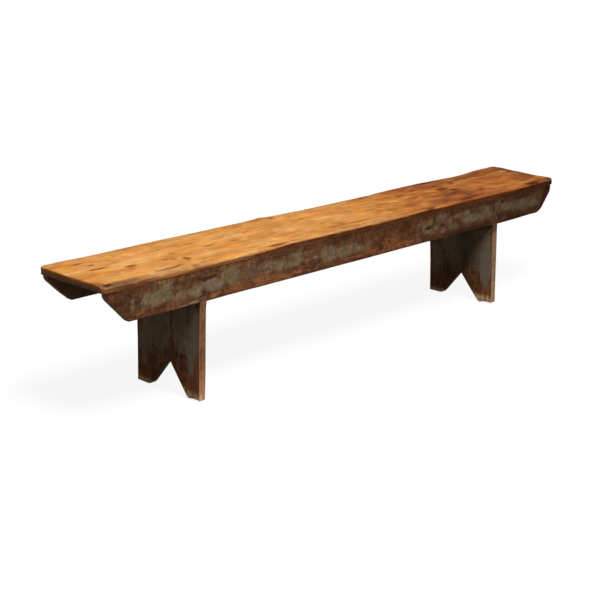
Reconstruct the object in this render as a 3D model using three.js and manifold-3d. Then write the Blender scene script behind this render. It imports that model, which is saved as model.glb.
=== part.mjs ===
// A long five-board bench: a scrubbed plank seat on two clipped aprons and two V-cut board legs.
// Millimetres, +Z up. The origin is on the floor under the middle of the seat, with X along its length.
import * as THREE from 'three';
import { mergeVertices } from 'three/addons/utils/BufferGeometryUtils.js';
import Module from 'manifold-3d';

// Seat board
const seatHeight = 450;
const seatLength = 2250;
const seatWidth = 311;
const seatThickness = 22;
const seatUpperArris = 6;
const seatLowerArris = 2.5;
const seatEndArris = 1;
const seatCornerRounding = 9;

// Aprons, the two boards on edge under the seat
const apronHeight = 102;
const apronThickness = 22;
const apronEndInset = 11;
const apronSideInset = 1.5;
const apronStub = 18;
const apronClip = 78;
const apronHeelRounding = 14;
const apronToeRounding = 5;
const apronArris = 2;

// Legs, two upright boards with a V cut out of the foot
const legThickness = 27;
const legInset = 356;
const legLean = 14;
const legArris = 2;
const notchHeight = 113;
const notchHalfWidth = 95;
const footInnerRounding = 9;
const footOuterRounding = 6;

// Lap joints, where each leg is notched round the aprons and each apron sits down over the legs
const lapDepth = 18;
const jointGap = 0.3;

// Cut nails, sheared from plate with a taper on two sides
const nailLength = 60;
const nailHeadLength = 7.5;
const nailHeadWidth = 5;
const nailHeadThickness = 2;
const nailHeadArris = 0.5;
const nailShankWidth = 4.2;
const nailTipWidth = 1.8;
const nailPlate = 3;
const nailGap = 0.3;
const nailSet = 0.5;

// Where the nails go
const edgeNailEndInset = 40;
const edgeNailLegInset = 30;
const edgeNailsBetweenLegs = 5;
const legNailShares = [-0.5, 0, 0.5];
const lapNailShares = [0.28, 0.74];

// Facets of rounded corners and eased edges
const roundingSteps = 4;
const arrisSteps = 2;
const overrun = 5;

// Places worked out from the sizes above
const undersideHeight = seatHeight - seatThickness;
const legHeight = undersideHeight - jointGap;
const apronTop = undersideHeight - jointGap;
const apronBottom = apronTop - apronHeight;
const apronLength = seatLength - 2 * apronEndInset;
const frameWidth = seatWidth - 2 * apronSideInset;
const betweenAprons = frameWidth - 2 * apronThickness;
const lapShoulder = apronBottom + lapDepth;
const leanShare = legLean / legHeight;
const footCentre = seatLength / 2 - legInset - legThickness / 2;

const X = new THREE.Vector3(1, 0, 0);
const Y = new THREE.Vector3(0, 1, 0);
const Z = new THREE.Vector3(0, 0, 1);
// Stands a drawn outline up across the bench, or along it
const across = new THREE.Matrix4().makeBasis(Y, Z, X);
const along = new THREE.Matrix4().makeBasis(X, Z, Y.clone().negate());

const wasm = await Module();
wasm.setup();

function toSolid(geometry) {
  const bare = geometry.clone();
  bare.deleteAttribute('normal');
  bare.deleteAttribute('uv');
  const merged = mergeVertices(bare);
  return new wasm.Manifold(new wasm.Mesh({
    numProp: 3,
    vertProperties: merged.attributes.position.array,
    triVerts: Uint32Array.from(merged.index.array),
  }));
}

function toGeometry(solid) {
  const { numProp, vertProperties, triVerts } = solid.getMesh();
  const geometry = new THREE.BufferGeometry();
  geometry.setAttribute('position', new THREE.BufferAttribute(vertProperties, numProp));
  geometry.setIndex(new THREE.BufferAttribute(triVerts, 1));
  geometry.computeVertexNormals();
  return geometry;
}

// Takes cutters that stand in the bench's frame out of a board whose own origin is at a place in it
function cutAway(board, place, cutters) {
  const cut = cutters.reduce((solid, cutter) => {
    const moved = cutter.clone().translate(-place.x, -place.y, -place.z);
    return solid.subtract(toSolid(moved));
  }, toSolid(board));
  return toGeometry(cut);
}

// A closed outline through corners given as [across, up, rounding]
function outline(corners) {
  const shape = new THREE.Shape();
  const pointAt = (i) => new THREE.Vector2(...corners[(i + corners.length) % corners.length]);
  corners.forEach(([x, y, rounding], i) => {
    const corner = pointAt(i);
    const start = pointAt(i - 1).sub(corner).setLength(rounding).add(corner);
    const finish = pointAt(i + 1).sub(corner).setLength(rounding).add(corner);
    if (i === 0) shape.moveTo(start.x, start.y);
    else shape.lineTo(start.x, start.y);
    if (rounding > 0) shape.quadraticCurveTo(x, y, finish.x, finish.y);
  });
  return shape;
}

// A board sawn to an outline, with eased arrises and its thickness centred on the drawing plane
function sawnBoard(shape, thickness, arris) {
  const board = new THREE.ExtrudeGeometry(shape, {
    depth: thickness - 2 * arris,
    bevelThickness: arris,
    bevelSize: arris,
    bevelOffset: -arris,
    bevelSegments: arrisSteps,
    curveSegments: roundingSteps,
  });
  return board.translate(0, 0, arris - thickness / 2);
}

// The seat's cross section, worn round on top and crisp underneath, is run along the grain,
// and its corners are then rounded off in plan
function seatBoard() {
  const end = seatLength / 2;
  const edge = seatWidth / 2;
  const section = outline([
    [-edge, 0, seatLowerArris],
    [edge, 0, seatLowerArris],
    [edge, seatThickness, seatUpperArris],
    [-edge, seatThickness, seatUpperArris],
  ]);
  const plan = outline([
    [-end, -edge, seatCornerRounding],
    [end, -edge, seatCornerRounding],
    [end, edge, seatCornerRounding],
    [-end, edge, seatCornerRounding],
  ]);
  const run = sawnBoard(section, seatLength, seatEndArris).applyMatrix4(across);
  const blank = sawnBoard(plan, 2 * seatThickness + overrun, 0);
  return toGeometry(toSolid(run).intersect(toSolid(blank)));
}

// An apron from its lower edge up, its ends square for a stub below the seat and then clipped away
function apronBoard() {
  const toe = apronLength / 2;
  const heel = toe - apronClip;
  const clipTop = apronHeight - apronStub;
  const profile = outline([
    [-heel, 0, apronHeelRounding],
    [heel, 0, apronHeelRounding],
    [toe, clipTop, apronToeRounding],
    [toe, apronHeight, 0],
    [-toe, apronHeight, 0],
    [-toe, clipTop, apronToeRounding],
  ]);
  return sawnBoard(profile, apronThickness, apronArris).applyMatrix4(along);
}

// A leg before its shoulders are cut: full width, with the V between two worn feet
function legBoard() {
  const half = frameWidth / 2;
  const profile = outline([
    [-half, 0, footOuterRounding],
    [-notchHalfWidth, 0, footInnerRounding],
    [0, notchHeight, 0],
    [notchHalfWidth, 0, footInnerRounding],
    [half, 0, footOuterRounding],
    [half, legHeight, 0],
    [-half, legHeight, 0],
  ]);
  return sawnBoard(profile, legThickness, legArris).applyMatrix4(across);
}

// Leans an upright form inward as it rises, so its foot and head stay level
function leaned(geometry, side) {
  const lean = new THREE.Matrix4().makeShear(0, 0, 0, 0, -side * leanShare, 0);
  return geometry.applyMatrix4(lean);
}

function legCentreAt(side, height) {
  return side * (footCentre - leanShare * height);
}

// What an apron takes out of a leg's corner, down to the shoulder it rests on
function shoulderCutter(face) {
  const depth = apronThickness + jointGap + overrun;
  const height = legHeight - lapShoulder + overrun;
  const inner = betweenAprons / 2 - jointGap;
  const box = new THREE.BoxGeometry(seatLength, depth, height);
  return box.translate(0, face * (inner + depth / 2), lapShoulder + height / 2);
}

// What a leg takes out of an apron's lower edge, with a little room on each side
function lapCutter(side) {
  const height = lapShoulder + jointGap;
  const box = new THREE.BoxGeometry(legThickness + 2 * jointGap, seatWidth, height);
  return leaned(box.translate(0, 0, height / 2), side).translate(side * footCentre, 0, 0);
}

// A cut nail standing on its point with the top of its head at the origin.
// Grown by a gap and carried on above its head, the same form is the hole it was driven into.
function nailForm(gap, above) {
  const shank = new THREE.Shape();
  const shoulder = nailShankWidth / 2 + gap;
  const tip = nailTipWidth / 2 + gap;
  const point = -nailLength - gap;
  shank.moveTo(-tip, point);
  shank.lineTo(tip, point);
  shank.lineTo(shoulder, -nailHeadThickness / 2);
  shank.lineTo(-shoulder, -nailHeadThickness / 2);
  const plate = nailPlate + 2 * gap;
  const wedge = new THREE.ExtrudeGeometry(shank, { depth: plate, bevelEnabled: false });
  wedge.translate(0, 0, -plate / 2).applyMatrix4(along);

  const halfLength = nailHeadLength / 2 + gap;
  const halfWidth = nailHeadWidth / 2 + gap;
  const rim = outline([
    [-halfLength, -halfWidth, 0],
    [halfLength, -halfWidth, 0],
    [halfLength, halfWidth, 0],
    [-halfLength, halfWidth, 0],
  ]);
  const headHeight = nailHeadThickness + gap + above;
  const head = sawnBoard(rim, headHeight, above > 0 ? 0 : nailHeadArris);
  head.translate(0, 0, above - headHeight / 2);
  return toGeometry(toSolid(wedge).add(toSolid(head)));
}

const nail = nailForm(0, 0);
const nailHole = nailForm(nailGap, overrun);
const upright = new THREE.Euler();

// Nails through the seat into an apron's top edge: one near each end, the rest between the legs
function edgeNails(row, face) {
  const nearLeg = legCentreAt(1, apronTop) - legThickness / 2 - edgeNailLegInset;
  const gaps = edgeNailsBetweenLegs - 1;
  const between = Array.from({ length: edgeNailsBetweenLegs }, (_, i) => nearLeg * (2 * i / gaps - 1));
  const end = seatLength / 2 - edgeNailEndInset;
  return [-end, ...between, end].map((x, i) => ({
    name: `${row}_edge_nail_${i + 1}`,
    place: new THREE.Vector3(x, face * (frameWidth - apronThickness) / 2, seatHeight - nailSet),
    turn: upright,
  }));
}

// Nails through the seat into a leg's end grain
function legNails(end, side) {
  return legNailShares.map((share, i) => ({
    name: `${end}_leg_nail_${i + 1}`,
    place: new THREE.Vector3(legCentreAt(side, legHeight), share * betweenAprons / 2, seatHeight - nailSet),
    turn: upright,
  }));
}

// Nails through an apron into a leg's edge, above the lap's shoulder
function lapNails(end, side, row, face) {
  return lapNailShares.map((share, i) => {
    const height = lapShoulder + share * (apronTop - lapShoulder);
    return {
      name: `${end}_${row}_lap_nail_${i + 1}`,
      place: new THREE.Vector3(legCentreAt(side, height), face * (frameWidth / 2 - nailSet), height),
      turn: new THREE.Euler(-face * Math.PI / 2, 0, 0),
    };
  });
}

function drivenHole({ place, turn }) {
  const matrix = new THREE.Matrix4().makeRotationFromEuler(turn).setPosition(place);
  return nailHole.clone().applyMatrix4(matrix);
}

const rows = [{ row: 'front', face: -1 }, { row: 'back', face: 1 }];
const ends = [{ end: 'left', side: -1 }, { end: 'right', side: 1 }];

for (const entry of rows) entry.edgeNails = edgeNails(entry.row, entry.face);
for (const entry of ends) entry.legNails = legNails(entry.end, entry.side);
const laps = ends.flatMap(({ end, side }) => rows.map(({ row, face }) => (
  { end, row, nails: lapNails(end, side, row, face) }
)));

const pine = { color: 0xcf9350, roughness: 0.55, metalness: 0 };
const paintedApron = { color: 0x5d4a38, roughness: 0.75, metalness: 0 };
const paintedLeg = { color: 0x4d4238, roughness: 0.8, metalness: 0 };
const rustedIron = { color: 0x3a2c25, roughness: 0.7, metalness: 0.6 };

function piece(name, geometry, look, place, turn = upright) {
  const mesh = new THREE.Mesh(geometry, new THREE.MeshStandardMaterial(look));
  mesh.name = name;
  mesh.position.copy(place);
  mesh.rotation.copy(turn);
  return mesh;
}

function seat() {
  const place = new THREE.Vector3(0, 0, undersideHeight);
  const driven = [...rows.flatMap((r) => r.edgeNails), ...ends.flatMap((e) => e.legNails)];
  const board = cutAway(seatBoard(), place, driven.map(drivenHole));
  return piece('seat_board', board, pine, place);
}

function apron({ row, face, edgeNails: driven }) {
  const place = new THREE.Vector3(0, face * (frameWidth - apronThickness) / 2, apronBottom);
  const lapped = laps.filter((lap) => lap.row === row).flatMap((lap) => lap.nails);
  const cutters = [...ends.map(({ side }) => lapCutter(side)), ...[...driven, ...lapped].map(drivenHole)];
  return piece(`${row}_apron`, cutAway(apronBoard(), place, cutters), paintedApron, place);
}

function leg({ end, side, legNails: driven }) {
  const place = new THREE.Vector3(side * footCentre, 0, 0);
  const lapped = laps.filter((lap) => lap.end === end).flatMap((lap) => lap.nails);
  const cutters = [...rows.map(({ face }) => shoulderCutter(face)), ...[...driven, ...lapped].map(drivenHole)];
  return piece(`${end}_leg`, cutAway(leaned(legBoard(), side), place, cutters), paintedLeg, place);
}

const bench = new THREE.Group();
const boards = new THREE.Group();
boards.add(seat(), ...rows.map(apron), ...ends.map(leg));
const nails = new THREE.Group();
const driven = [rows.map((r) => r.edgeNails), ends.map((e) => e.legNails), laps.map((l) => l.nails)].flat(2);
nails.add(...driven.map(({ name, place, turn }) => piece(name, nail, rustedIron, place, turn)));
bench.add(boards, nails);

export default bench;
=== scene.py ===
"""A long country bench: a scrubbed pine seat nailed over two worn, painted aprons and two V-footed legs.

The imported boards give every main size. Each visible board is a lattice block, worked out with numpy in
millimetres, whose edges are eased, whose outline is warped to the sawn shape and whose faces are worn.
"""
import math

import bpy
import numpy as np
from mathutils import Matrix, Vector


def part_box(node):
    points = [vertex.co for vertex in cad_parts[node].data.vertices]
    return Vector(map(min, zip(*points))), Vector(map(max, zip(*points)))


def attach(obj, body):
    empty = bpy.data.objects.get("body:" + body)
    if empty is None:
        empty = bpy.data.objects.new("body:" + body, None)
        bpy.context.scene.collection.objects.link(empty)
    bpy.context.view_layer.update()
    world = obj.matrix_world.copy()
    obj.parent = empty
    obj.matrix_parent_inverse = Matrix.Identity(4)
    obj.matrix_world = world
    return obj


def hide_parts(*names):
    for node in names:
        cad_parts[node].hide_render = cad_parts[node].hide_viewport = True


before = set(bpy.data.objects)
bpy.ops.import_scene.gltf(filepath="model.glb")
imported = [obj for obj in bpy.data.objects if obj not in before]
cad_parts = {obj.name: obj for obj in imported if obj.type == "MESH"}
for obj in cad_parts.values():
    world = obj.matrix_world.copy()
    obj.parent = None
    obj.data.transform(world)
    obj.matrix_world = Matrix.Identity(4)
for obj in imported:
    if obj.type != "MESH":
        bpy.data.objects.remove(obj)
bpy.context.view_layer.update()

MM = 0.001

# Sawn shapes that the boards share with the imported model, in millimetres: how far an apron sits down over
# a leg, how far a leg leans in its height and the gap between joined boards
LAP_DEPTH = 18
LEG_LEAN = 14
JOINT_GAP = 0.3

# The room beside a leg inside its lap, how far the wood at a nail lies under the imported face, how wide the
# dimple round the nail is, and what the nail map says on faces that have no nails
LAP_ROOM = 0.9
NAIL_SEAT_DEPTH = 0.9
NAIL_DIMPLE = 12
NO_NAIL = 99

# How each apron's left and right ends were sawn and worn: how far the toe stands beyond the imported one,
# how far the clip runs in, the rounding of the heel and the height of the square stub above the clip
APRON_ENDS = {"front": ((0.3, 79, 4, 18), (-11, 66, 36, 25)), "back": ((1, 84.5, 5, 18), (0, 78, 14, 18))}

# How far each apron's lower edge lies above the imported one, as (x, size)
APRON_LOWER_EDGE = {
    "front": [(-1109, 0), (-700, 0), (-640, 0.8), (-570, 0.8), (-500, 0), (700, 0), (765, -2.8),
              (850, -2.4), (980, 0), (1109, 0)],
    "back": [(-1109, 4), (-900, 4), (-820, 0), (1109, 0)],
}

# The V of each foot: the apex's place and height, and where the V meets the floor at the back and front
LEG_NOTCHES = {"left": (-2.8, 112.5, 90.8, -98.7), "right": (0.5, 108.5, 91.4, -90.5)}

# How much of each foot's front has worn away, in millimetres
FOOT_WEAR = {"left": 5.5, "right": 8.5}

# The view of the photograph: a square picture taken with a long lens from the front left
CAMERA_PLACE = (-3.2859, -3.0589, 1.4906)
CAMERA_AZIMUTH = -45.556
CAMERA_ELEVATION = 16.722
CAMERA_ROLL = 0.372
CAMERA_LENS = 78.72
CAMERA_SENSOR = 36
CAMERA_REACH = 200

# The round floor's radius and how far it lies under the feet, in metres, the glow that it shows the camera,
# the grey that catches the shadow and the grey that bounces light, and between which distances from the
# bench's middle, in millimetres, it turns wholly white
FLOOR_RADIUS = 60
FLOOR_DROP = 0.0004
FLOOR_GLOW = 0.885
SHADOW_GREY = 0.18
BOUNCE_GREY = 0.12
WHITE_BEYOND = (1500, 3400)

# The light that the room gives from all sides, each lamp's place, size and light and where the lamps aim
ROOM_LIGHT = 0.18
BENCH_MIDDLE = (0, 0, 0.3)
LAMPS = {"key": ((-0.9, -2.2, 4.2), 1.8, 0.95), "back_fill": ((2.5, 2.6, 0.25), 0.5, 0.35)}


def packed_size(node):
    """The lowest and highest corners of a packed board, in millimetres."""
    low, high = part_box(node)
    return np.array(low) / MM, np.array(high) / MM


def packed_nails(*words):
    """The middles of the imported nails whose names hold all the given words, in millimetres."""
    chosen = [name for name in sorted(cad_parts) if all(word in name for word in words)]
    return np.array([np.mean(packed_size(name), axis=0) for name in chosen])


# Numbers over arrays of points

def smooth(value, low, high):
    """An eased step from 0 at low to 1 at high: 3t^2 - 2t^3 of the clipped share t."""
    share = np.clip((value - low) / (high - low), 0, 1)
    return share * share * (3 - 2 * share)


def drawn(x, stations):
    """An easy curve through (x, value) stations: an eased step from each station's value to the next."""
    at, values = np.array(stations, float).T
    i = np.clip(np.searchsorted(at, x) - 1, 0, len(at) - 2)
    return values[i] + (values[i + 1] - values[i]) * smooth(x, at[i], at[i + 1])


def uneven(points, size, seed):
    """Smooth noise from -1 to 1: random values on a lattice of cells, mixed by the eased shares of a
    point's place in its cell between the cell's eight corners."""
    table = np.random.default_rng(seed).uniform(-1, 1, (32, 32, 32))
    place = points / np.array(size, float)
    cell = np.floor(place).astype(int)
    share = smooth(place - cell, 0, 1)
    total = 0
    for corner in np.ndindex(2, 2, 2):
        weight = np.where(corner, share, 1 - share).prod(-1)
        total = total + weight * table[tuple(((cell + corner) % 32).T)]
    return total


def marks(u, v, ovals, flatness=1, spread=1):
    """The strongest of a list of soft ovals (u, v, half length, half width, strength) at each point:
    strength times exp(-q^flatness), where q is the squared distance in units of the half sizes, which
    the spread enlarges."""
    total = np.zeros_like(u)
    for at_u, at_v, half_u, half_v, strength in ovals:
        q = (((u - at_u) / half_u) ** 2 + ((v - at_v) / half_v) ** 2) / spread ** 2
        total = np.maximum(total, strength * np.exp(-(q ** flatness)))
    return total


def nearest(u, v, places):
    """The distance from each point to the nearest of some places, on a face."""
    return np.min([np.hypot(u - at_u, v - at_v) for at_u, at_v in places], axis=0)


# The lattice block that every board starts from

# Where the close lattice lines across an eased edge lie, as shares of the easing
EASED_LINES = np.array([0, 0.07, 0.2, 0.4, 0.68])

# The step of each board's lattice and the width of its close lines, along X, Y and, but for the seat, Z
SEAT_LATTICE = ((5.6, 9), (3.9, 16))
APRON_LATTICE = ((6.5, 6), (5, 3), (4.2, 9))
LEG_LATTICE = ((6, 3), (4.6, 8), (4.8, 8))

# How far the upper and the lower edges of aprons and legs are eased
APRON_EASING = (1, 3.2)
LEG_EASING = (2.2, 3.4)

# The gap of the pair of lattice lines at a step in the outline, and how near no other line comes
STEP_GAP = 0.3
STEP_CLEARANCE = 1.2

# Two faces that meet at more than this many degrees keep a sharp edge between them
SHARP_ANGLE = 42


def graded(low, high, step, easing):
    """Lattice lines from low to high: close ones across each eased edge and even ones between."""
    close = easing * EASED_LINES
    count = max(2, round((high - low - 2 * easing) / step) + 1)
    even = np.linspace(low + easing, high - easing, count)
    return np.concatenate([low + close, even, (high - close)[::-1]])


def lattice(low, high, table):
    """The graded lattice lines between two corners, one set for each row of the table."""
    return [graded(*ends, *row) for *ends, row in zip(low, high, table)]


def with_steps(lines, steps):
    """Lattice lines with a close pair at each step in the outline, and none just beside it."""
    for step in steps:
        lines = lines[np.abs(lines - step) > STEP_CLEARANCE]
        lines = np.concatenate([lines, [step - STEP_GAP / 2, step + STEP_GAP / 2]])
    return np.sort(lines)


def block_skin(xs, ys, zs):
    """The skin of a block of lattice points. Each outer point is numbered once, so that the six sheets
    of four-sided faces share their edges. Faces point outwards."""
    shape = np.array([len(xs), len(ys), len(zs)])
    index = np.stack(np.meshgrid(*map(np.arange, shape), indexing="ij"), -1)
    outer = ((index == 0) | (index == shape - 1)).any(-1)
    number = np.cumsum(outer).reshape(shape) - 1
    i, j, k = index[outer].T
    sheets = []
    for axis in range(3):
        for end in (0, -1):
            sheet = np.take(number, end, axis)
            square = np.stack([sheet[:-1, :-1], sheet[1:, :-1], sheet[1:, 1:], sheet[:-1, 1:]], -1)
            square = square.reshape(-1, 4)
            sheets.append(square[:, ::-1] if (end == 0) != (axis == 1) else square)
    return np.stack([xs[i], ys[j], zs[k]], -1), np.concatenate(sheets)


def eased(points, low, high, upper, lower, end_share=1.0):
    """Eases a block's edges. A point near an edge goes onto a ball round the nearest point of the core
    that is left when the easing radius is taken off each face: core + radius * direction away from it.
    The radius is lower near the bottom and upper near the top, and less by end_share along X.
    Gives the points, the directions outwards and the distance from the nearest arris."""
    bottom = low[2] + lower
    top = high[2] - upper
    share = np.clip((points[:, 2] - bottom) / (top - bottom), 0, 1)
    radius = (lower + (upper - lower) * share)[:, None] * np.array([end_share, 1, 1])
    core = np.clip(points, low + radius, high - radius)
    core[:, 2] = np.clip(points[:, 2], bottom, top)
    away = (points - core) / radius
    outward = away / np.linalg.norm(away, axis=1, keepdims=True)
    arris = np.sort(np.minimum(points - low, high - points), axis=1)[:, 1]
    return core + outward * radius, outward, arris


def corners_rounded(points, low, high, radius):
    """Rounds the four corners of a board in plan: beyond the corner's centre, a point's longer reach is
    kept as its distance from that centre, which turns the square corner into a quarter circle."""
    plan = points[:, :2]
    centre = np.clip(plan, low[:2] + radius[:, None], high[:2] - radius[:, None])
    away = np.abs(plan - centre)
    share = away.max(1) / np.maximum(np.hypot(*away.T), 1e-9)
    turned = np.where((away > 0).all(1), share, 1)[:, None]
    points[:, :2] = centre + (plan - centre) * turned
    return points


def dimpled(level, nail, seat, worn):
    """A worn face's level, sunk at each nail to the nail's seat: by exp(-(d / NAIL_DIMPLE)^2) of the way,
    where d is the distance to the nearest nail."""
    return level + np.exp(-(nail / NAIL_DIMPLE) ** 2) * worn * (seat - level)


def finished(node, points, faces, maps, finish):
    """A board piece from points in millimetres and its faces, with its wear maps as attributes. It rides
    on the bench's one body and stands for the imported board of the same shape."""
    name = f"{node}_worn"
    mesh = bpy.data.meshes.new(name)
    mesh.from_pydata((points * MM).tolist(), [], faces.tolist())
    for label, values in maps.items():
        layer = mesh.attributes.new(label, "FLOAT", "POINT")
        layer.data.foreach_set("value", np.asarray(values, np.float32))
    mesh.shade_smooth()
    mesh.set_sharp_from_angle(angle=math.radians(SHARP_ANGLE))
    mesh.materials.append(finish)
    piece = bpy.data.objects.new(name, mesh)
    bpy.context.scene.collection.objects.link(piece)
    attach(piece, "root")
    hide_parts(node)


# Seat board

# The heights of the seat's lattice layers, as shares of its thickness
SEAT_LAYERS = np.array([0, 0.03, 0.08, 0.15, 0.28, 0.42, 0.54, 0.65, 0.76, 0.86, 0.93, 1])

# How far the upper front and back arrises are worn round, and how both long edges wander, as (x, size); the
# lower arrises are only eased, and so are the ends, by a share of the long edges' rounding
FRONT_ARRIS = [(-1125, 10), (-1010, 9), (-930, 9), (-870, 14), (-790, 16), (-700, 15), (-620, 13), (-540, 9),
               (-300, 7), (-60, 9), (120, 7), (500, 8), (900, 6), (1125, 9)]
BACK_ARRIS = [(-1125, 6), (-600, 5), (-200, 7), (400, 6), (1125, 5)]
LOWER_EASING = 0.6
END_EASING_SHARE = 0.22
BACK_WANDER = [(-1125, 2), (-1050, 4), (-980, 0), (-830, 2), (-685, 4), (-465, 1), (-319, 2), (-255, 4),
               (-190, -3), (-99, -4), (-25, -6), (350, -6), (400, 0), (561, 1), (634, 3), (708, 0), (781, -3),
               (854, -6), (928, -3), (1001, 2), (1074, 4), (1125, 4)]
FRONT_WANDER = [(-1125, -1), (-990, 1), (-840, -1), (-600, -0.8), (-430, 0.5), (0, -0.6), (500, 0.5),
                (900, -0.4), (1125, 1)]

# How far the top lifts towards the back edge, as (x, size), how the right end lifts and how both ends run
# out of square, as (y, size), and how far in from an end that reaches
BACK_LIFT = [(-1125, 2.2), (-1090, 3), (-1050, 2.2), (-960, 1.2), (-860, 1), (-780, 1), (-685, 1.6),
             (-470, 1.2), (-275, 1), (-250, 2), (-220, 5), (-185, 3), (-150, 2), (-60, 1), (100, 0.4),
             (220, -0.4), (350, 0.2), (430, 0.8), (485, 2.2), (530, 1.6), (640, 1.5), (850, 0.6), (900, 0.4),
             (960, 1.8), (1010, 4.4), (1060, 5), (1125, 5)]
RIGHT_END_LIFT = [(-155, 2), (-110, 1.9), (-70, 1.3), (-30, 1.9), (20, 3.4), (85, 4.6), (155, 0)]
RIGHT_END_SKEW = [(-155, -3), (155, 7)]
LEFT_END_SKEW = [(-155, 0), (60, 0), (155, -3.4)]
END_REACH = 160

# The rounding of the corners in plan: front left, back left, front right and back right
SEAT_CORNERS = (17, 19, 15, 16)

# How deep the top is scooped along its middle and bruised at a dark mark, and how far its front falls away
SCOOP_DEPTH = 1.1
BRUISE_DEPTH = 0.7
FRONT_FALL = 1.5

# How high above the underside the seat's nail map starts
NAIL_MAP_BASE = 12

# How far down the edges the scrubbing runs and how pale the old edge is under it, along the front as
# (x, size) and at the back and ends as one size
OTHER_SCRUBBED_DEPTH = 4.5
OTHER_EDGE_TONE = 0.2
SCRUBBED_DEPTH = [(-1125, 7), (-1090, 9), (-1040, 11.5), (-975, 11.5), (-950, 14), (-880, 16), (-800, 14),
                  (-750, 12), (-690, 10.5), (-640, 10), (-590, 10.5), (-520, 13), (-450, 12), (-420, 8.5),
                  (-390, 6.4), (-230, 8), (0, 9), (100, 9.6), (200, 9), (268, 6.5), (350, 4), (390, 6.5),
                  (450, 8.8), (560, 9), (700, 8.3), (840, 9), (940, 8), (1000, 5), (1125, 5)]
EDGE_TONE = [(-1125, 0.85), (-1080, 0.85), (-1031, 0.6), (-960, 0.7), (-894, 0.95), (-757, 0.68),
             (-620, 0.95), (-560, 0.9), (-520, 0.65), (-347, 0.45), (200, 0.42), (337, 0.26), (610, 0.46),
             (1125, 0.1)]

# How dark the top is beside the front and back arrises, as (x, strength)
FRONT_RIM = [(-1125, 1.1), (-1090, 0.9), (-1030, 1.1), (-980, 1.0), (-940, 0.6), (-757, 0.5), (-620, 0.08),
             (-73, 0.6), (63, 0.25), (200, 0.25), (350, 0.55), (400, 0.2), (474, 0), (900, 0), (960, 0.5),
             (1060, 0.6), (1125, 0.9)]
BACK_RIM = [(-1125, 0.25), (-60, 0.5), (350, 0.42), (450, 0.1), (560, 0.1), (680, 0.9), (740, 0.6),
            (900, 0.1), (1125, 0.5)]

# Where the top's front edge is worn or split away, as (x, y, half length, half width, depth)
SEAT_SPALLS = [
    (-1050, -163, 92, 36, 5.0), (-942, -160, 46, 24, 2.6), (-985, -152, 16, 9, 2.0),
    (-618, -158, 26, 12, 3.0), (-690, -160, 20, 10, 2.0), (-425, -158, 40, 12, 2.6), (-35, -158, 22, 9, 2.2),
    (350, -157, 42, 12, 2.6), (985, -158, 32, 12, 1.6), (1096, -160, 26, 14, 2.4), (560, -158, 24, 8, 1.4),
]

# Where the brown of the broken wood spreads over the top beside the splits, as (x, y, half length, half
# width, strength)
SEAT_BROWNED = [(-1050, -150, 92, 33, 0.95), (-1108, -135, 24, 30, 0.8)]

# Dark dashes, bruises and burns in the top, as (x, y, half length, half width, strength)
SEAT_STAINS = [
    (-1055, 92, 9, 6, 0.4), (-1030, 95, 24, 5, 0.75), (-1006, 60, 11, 6, 0.9), (-1022, 60, 10, 6, 0.4),
    (-1032, 16, 12, 6, 0.85), (-1008, 13, 20, 5.5, 0.85), (-920, -25, 19, 9, 0.8), (-796, -42, 14, 9, 0.6),
    (-778, -50, 14, 9, 0.6), (-738, 3, 16, 6, 0.5), (-741, -74, 11, 17, 0.75), (-755, -100, 12, 6, 0.5),
    (-855, -128, 44, 8, 0.9), (-900, -124, 14, 7, 0.5), (-812, -121, 24, 7, 0.55), (-774, -150, 18, 7, 0.65),
    (-680, 22, 22, 9, 0.35), (-622, 25, 12, 6, 0.4), (-590, -2, 24, 8, 0.6), (-668, 62, 18, 30, 0.25),
    (-385, 48, 22, 5, 0.5), (-482, -8, 30, 6, 0.6), (-440, 0, 13, 6, 0.45), (-325, -25, 18, 9, 0.4),
    (-405, -105, 20, 7, 0.4), (-425, -146, 42, 7, 0.8), (-300, -135, 16, 7, 0.35), (-190, 126, 20, 9, 0.6),
    (-108, 60, 22, 7, 0.3), (-110, -45, 14, 8, 0.45), (-60, -92, 20, 8, 0.35), (10, -106, 34, 15, 0.4),
    (192, -42, 13, 7, 0.5), (155, -76, 16, 7, 0.35), (248, -80, 44, 11, 0.35), (365, -34, 26, 5, 0.45),
    (420, 55, 28, 8, 0.6), (540, 90, 20, 7, 0.6), (350, -150, 24, 8, 0.75), (442, -76, 18, 8, 0.5),
    (450, -96, 12, 8, 0.5), (508, -44, 36, 9, 0.6), (556, -62, 30, 9, 0.6), (640, 30, 28, 15, 1.0),
    (664, -8, 20, 15, 0.9), (638, -38, 22, 8, 0.6), (612, -10, 24, 6, 0.6), (580, -140, 46, 10, 0.7),
    (638, -102, 20, 9, 0.5), (672, 138, 46, 9, 0.75), (588, 115, 18, 8, 0.6), (754, 80, 9, 18, 0.65),
    (738, 120, 22, 8, 0.4), (868, 108, 44, 9, 0.65), (825, 104, 20, 8, 0.4), (960, 90, 40, 10, 0.4),
    (745, -80, 11, 12, 0.55), (985, -142, 34, 11, 0.9), (966, -150, 7, 5, 1.4), (984, -152, 7, 5, 1.4),
    (1010, -150, 6, 6, 1.4), (-1096, -139, 14, 9, 0.8), (1000, -50, 34, 7, 0.3), (880, 24, 50, 4, 0.3),
    (1060, 0, 30, 6, 0.45), (1090, -112, 22, 12, 0.35), (920, -40, 40, 5, 0.25),
]

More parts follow.
